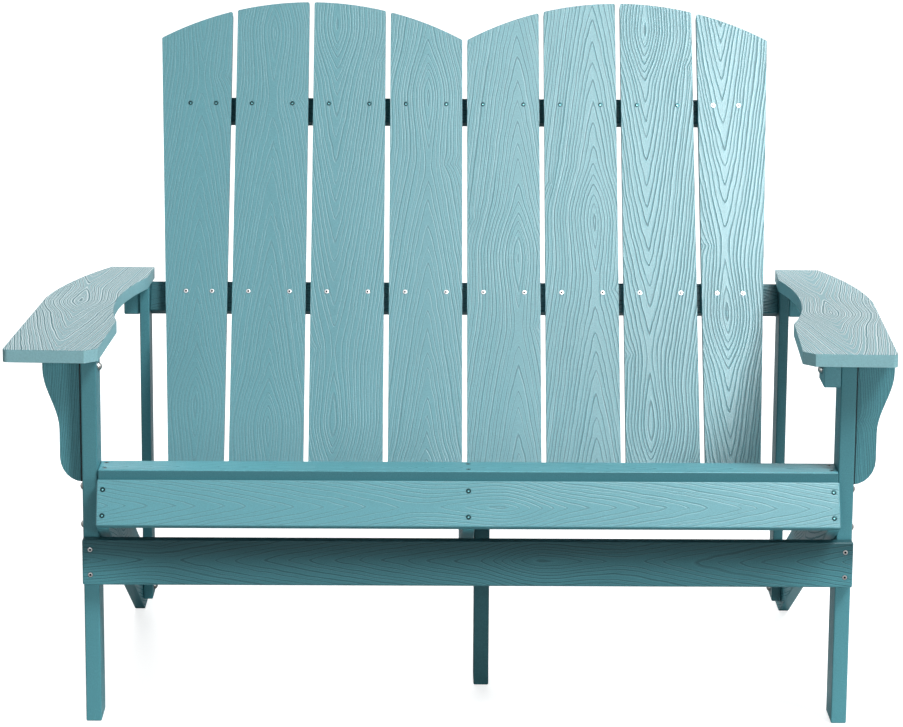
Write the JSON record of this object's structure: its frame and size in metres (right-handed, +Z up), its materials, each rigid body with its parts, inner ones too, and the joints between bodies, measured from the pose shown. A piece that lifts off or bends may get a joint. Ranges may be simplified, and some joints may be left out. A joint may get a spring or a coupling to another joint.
{
  "type": "adirondack loveseat",
  "caption": "Slatted garden bench for two with a reclined double-arched back, broad flat armrests on curved brackets and sloping side rails that form the rear feet.",
  "frame": {"origin": "middle of the bench's bounding box in plan, on the ground", "axes": "+X along the seat towards the armrest at the right of someone who faces the bench, -Y the way the sitter faces, +Z up"},
  "size_m": [1.2492, 0.8268, 0.9412],
  "materials": {
    "lumber": "embossed wood grain, satin teal",
    "steel": "stainless steel"
  },
  "bodies": {
    "root": {"arm_bolt_left": "steel", "arm_bolt_right": "steel", "arm_bracket_left": "lumber", "arm_bracket_right": "lumber", "armrest_left": "lumber", "armrest_right": "lumber", "back_slat_1": "lumber", "back_slat_2": "lumber", "back_slat_3": "lumber", "back_slat_4": "lumber", "back_slat_5": "lumber", "back_slat_6": "lumber", "back_slat_7": "lumber", "back_slat_8": "lumber", "bottom_back_batten": "lumber", "centre_leg": "lumber", "centre_leg_bolt_1": "steel", "centre_leg_bolt_1_nut": "steel", "centre_leg_bolt_2": "steel", "centre_leg_bolt_2_nut": "steel", "centre_leg_washer_1": "steel", "centre_leg_washer_2": "steel", "front_apron": "lumber", "front_arm_block_right": "lumber", "front_leg_left": "lumber", "front_leg_right": "lumber", "leg_bolt_left_1": "steel", "leg_bolt_left_1_nut": "steel", "leg_bolt_left_2": "steel", "leg_bolt_left_2_nut": "steel", "leg_bolt_right_1": "steel", "leg_bolt_right_1_nut": "steel", "leg_bolt_right_2": "steel", "leg_bolt_right_2_nut": "steel", "lower_back_rail": "lumber", "post_bolt_left_1": "steel", "post_bolt_left_1_nut": "steel", "post_bolt_left_2": "steel", "post_bolt_left_2_nut": "steel", "post_bolt_right_1": "steel", "post_bolt_right_1_nut": "steel", "post_bolt_right_2": "steel", "post_bolt_right_2_nut": "steel", "rear_arm_block_left": "lumber", "rear_arm_block_right": "lumber", "rear_post_left": "lumber", "rear_post_right": "lumber", "seat_front_slat": "lumber", "seat_slat_1": "lumber", "seat_slat_2": "lumber", "seat_slat_3": "lumber", "seat_slat_4": "lumber", "seat_slat_5": "lumber", "seat_slat_6": "lumber", "stringer_centre": "lumber", "stringer_left": "lumber", "stringer_right": "lumber", "upper_back_batten": "lumber"}
  },
  "joints": []
}
